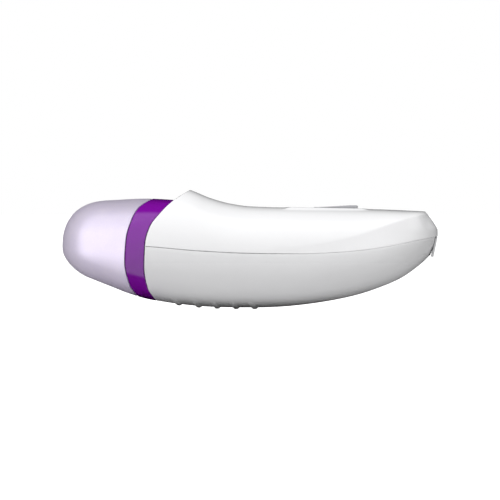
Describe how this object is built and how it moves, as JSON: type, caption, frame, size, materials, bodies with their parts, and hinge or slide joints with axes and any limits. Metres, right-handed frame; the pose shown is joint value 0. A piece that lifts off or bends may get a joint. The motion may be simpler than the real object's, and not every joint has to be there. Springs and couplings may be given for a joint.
{
  "type": "epilator",
  "caption": "Handheld corded rotary epilator: contoured two-shell handle with slide switch, geared tweezer drum head, protective cap, trim ring and rear cord inlet.",
  "frame": {"origin": "under the middle of the body's box, on the plane of the lowest grip rib", "axes": "+X to the cord inlet, -X to the tweezer head, +Z to the front face with the switch, symmetric in Y"},
  "size_m": [0.16, 0.051, 0.0508],
  "materials": {
    "white_gloss": "glossy moulded white plastic",
    "head_white": "moulded white plastic",
    "cap_lilac": "satin pearlescent pale lilac plastic",
    "trim_purple": "high-gloss purple plastic",
    "switch_grey": "satin grey plastic",
    "inner_plastic": "unpolished moulded plastic",
    "acetal": "natural acetal",
    "steel": "ground stainless steel",
    "zinc_plate": "zinc-plated steel",
    "copper": "wound copper on a laminated core",
    "film_case": "dipped film capacitor",
    "board_green": "printed circuit board",
    "black_plastic": "moulded black plastic",
    "red_wire": "insulated wire",
    "black_wire": "insulated wire"
  },
  "bodies": {
    "handle": {"front_housing": "white_gloss", "rear_housing": "white_gloss", "trim_ring": "trim_purple", "neck_deck": "inner_plastic", "gearbox_frame": "acetal", "motor_can": "zinc_plate", "motor_end_cap": "black_plastic", "transfer_shaft": "steel", "drive_gear_shaft": "steel", "circuit_board": "board_green", "slide_switch": "black_plastic", "filter_capacitor": "film_case", "inlet_bezel": "switch_grey", "inlet_socket": "black_plastic", "inlet_pin_left": "steel", "inlet_pin_right": "steel", "motor_lead_red": "red_wire", "motor_lead_black": "black_wire", "inlet_lead_red": "red_wire", "inlet_lead_black": "black_wire", "gearbox_screw_1": "zinc_plate", "gearbox_screw_2": "zinc_plate", "board_screw_1": "zinc_plate", "board_screw_2": "zinc_plate"},
    "switch": {"switch_knob": "switch_grey", "switch_carrier": "inner_plastic", "switch_lever": "black_plastic"},
    "rotor": {"motor_shaft": "steel", "motor_armature": "copper", "motor_pinion": "acetal"},
    "crown": {"crown_gear": "acetal"},
    "drive": {"drive_gear": "acetal"},
    "head": {"head_frame": "inner_plastic", "head_cover": "head_white", "pressure_plate_left": "steel", "pressure_plate_right": "steel", "axle_bush_left": "acetal", "axle_bush_right": "acetal", "head_gear_pin": "steel"},
    "idler": {"head_gear": "acetal"},
    "drum": {"drum_axle": "steel", "drum_gear": "acetal", "tweezer_disc_01": "steel", "tweezer_disc_02": "steel", "tweezer_disc_03": "steel", "tweezer_disc_04": "steel", "tweezer_disc_05": "steel", "tweezer_disc_06": "steel", "tweezer_disc_07": "steel", "tweezer_disc_08": "steel", "tweezer_disc_09": "steel", "tweezer_disc_10": "steel", "tweezer_disc_11": "steel", "tweezer_disc_12": "steel", "tweezer_disc_13": "steel", "tweezer_disc_14": "steel", "tweezer_disc_15": "steel", "tweezer_disc_16": "steel", "tweezer_disc_17": "steel"},
    "cap": {"protective_cap": "cap_lilac"}
  },
  "joints": [
    {"name": "head_slide", "type": "slide", "parent": "handle", "child": "head", "axis": [-1, 0, 0], "range_m": [0, 0.03]},
    {"name": "cap_slide", "type": "slide", "parent": "head", "child": "cap", "axis": [-1, 0, 0], "range_m": [0, 0.05]},
    {"name": "drum_spin", "type": "hinge", "parent": "head", "child": "drum", "pos_m": [-0.0645, 0, 0.028], "axis": [0, 1, 0], "continuous": true},
    {"name": "head_gear_spin", "type": "hinge", "parent": "head", "child": "idler", "pos_m": [-0.0555, 0, 0.028], "axis": [0, 1, 0], "continuous": true},
    {"name": "drive_gear_spin", "type": "hinge", "parent": "handle", "child": "drive", "pos_m": [-0.0453, 0, 0.028], "axis": [0, 1, 0], "continuous": true},
    {"name": "crown_spin", "type": "hinge", "parent": "handle", "child": "crown", "pos_m": [-0.0357, 0, 0.028], "axis": [0, 1, 0], "continuous": true},
    {"name": "motor_spin", "type": "hinge", "parent": "handle", "child": "rotor", "pos_m": [0, 0, 0.028], "axis": [1, 0, 0], "continuous": true},
    {"name": "switch_slide", "type": "slide", "parent": "handle", "child": "switch", "axis": [-1, 0, 0], "range_m": [0, 0.008]}
  ],
  "couplings": [
    {"joint": "crown_spin", "follows": "motor_spin", "ratio": -0.25},
    {"joint": "drive_gear_spin", "follows": "motor_spin", "ratio": 0.19444},
    {"joint": "head_gear_spin", "follows": "motor_spin", "ratio": -0.21875},
    {"joint": "drum_spin", "follows": "motor_spin", "ratio": 0.25}
  ]
}
